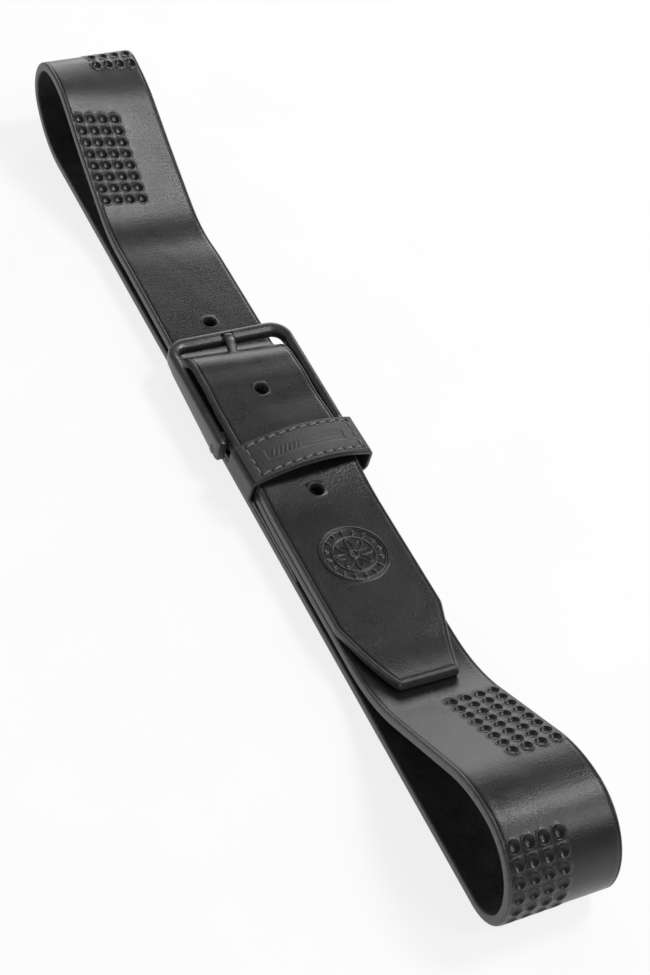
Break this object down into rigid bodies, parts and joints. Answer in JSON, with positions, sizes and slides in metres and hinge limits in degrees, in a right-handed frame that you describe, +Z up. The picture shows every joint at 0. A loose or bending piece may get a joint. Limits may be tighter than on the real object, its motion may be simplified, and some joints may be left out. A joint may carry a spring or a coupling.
{
  "type": "leather belt",
  "caption": "Black leather belt with a rectangular frame buckle, buckled and laid flat with a rounded loop at each end.",
  "frame": {"origin": "middle of the belt's footprint, on the surface it lies on", "axes": "+X along the belt from the buckle's end loop towards the loop beyond the tip, +Y across the strap, +Z up"},
  "size_m": [0.409, 0.0513, 0.0384],
  "materials": {
    "strap_leather": "smooth black full-grain leather, semi-gloss",
    "keeper_leather": "black leather with a coarser grain, satin",
    "thread": "waxed black thread",
    "keeper_thread": "waxed grey thread",
    "buckle_metal": "satin black",
    "bar_metal": "satin black",
    "staple_wire": "plain steel wire"
  },
  "bodies": {
    "strap": {"strap": "strap_leather", "turnback_front_stitches": "thread", "turnback_rear_stitches": "thread"},
    "buckle": {"buckle_frame": "buckle_metal", "heel_bar": "bar_metal"},
    "prong": {"prong": "buckle_metal"},
    "keeper": {"keeper_band": "keeper_leather", "keeper_patch": "keeper_leather", "keeper_patch_stitches": "keeper_thread", "keeper_staples": "staple_wire"}
  },
  "joints": [
    {"name": "buckle_tilt", "type": "hinge", "parent": "strap", "child": "buckle", "pos_m": [-0.0025, 0, 0.0073], "axis": [0, 1, 0], "range_deg": [0, 0.5]},
    {"name": "prong_lift", "type": "hinge", "parent": "buckle", "child": "prong", "pos_m": [-0.0025, 0, 0.0073], "axis": [0, 1, 0], "range_deg": [0, 0.5]},
    {"name": "keeper_slide", "type": "slide", "parent": "strap", "child": "keeper", "axis": [0.999, 0, -0.0436], "range_m": [-0.003, 0.001]}
  ]
}
